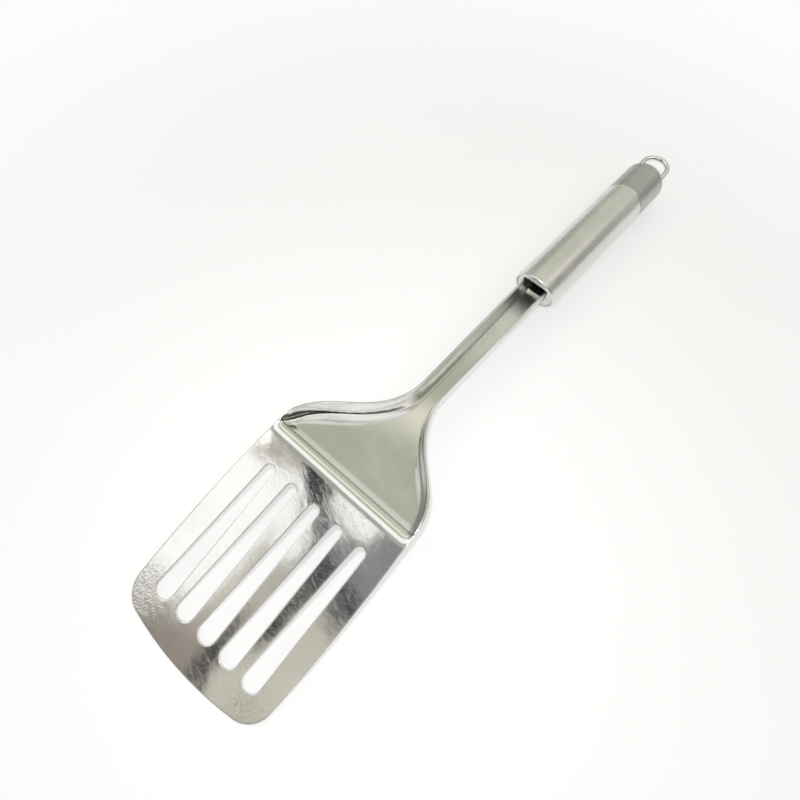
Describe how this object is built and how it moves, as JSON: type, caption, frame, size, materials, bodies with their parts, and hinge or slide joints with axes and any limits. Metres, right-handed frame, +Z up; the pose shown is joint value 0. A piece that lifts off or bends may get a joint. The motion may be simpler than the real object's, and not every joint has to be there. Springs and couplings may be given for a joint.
{
  "type": "slotted spatula",
  "caption": "Stainless steel kitchen spatula with a slotted blade, dished shoulder, trough-shaped neck and round hollow handle with a wire hanging loop.",
  "frame": {"origin": "under the middle of the tool's bounding box, on the surface it lies on", "axes": "+X from the blade's front edge to the hanging loop, +Z up out of the table on the blade's upper side, +Y to the side; the tool is symmetric about the XZ plane"},
  "size_m": [0.3568, 0.0752, 0.0272],
  "materials": {
    "polished_steel": "polished to a cloudy mirror with fine scuffs",
    "rolled_steel": "plain cold-rolled sheet, dull",
    "weld_metal": "as welded, dull grey",
    "cap_steel": "pressed sheet with a bright rim",
    "brushed_tube": "satin brushed along the handle",
    "satin_cap": "fine satin, brushed round the handle",
    "bright_wire": "bright drawn wire"
  },
  "bodies": {
    "root": {"blade_head": "polished_steel", "tang_strip": "rolled_steel", "plug_welds": "weld_metal", "front_cap": "cap_steel", "cap_welds": "weld_metal", "handle_tube": "brushed_tube", "tail_disc": "rolled_steel", "joint_sleeve": "rolled_steel", "rear_cap": "satin_cap", "loop_plate": "rolled_steel", "hanging_loop": "bright_wire"}
  },
  "joints": []
}
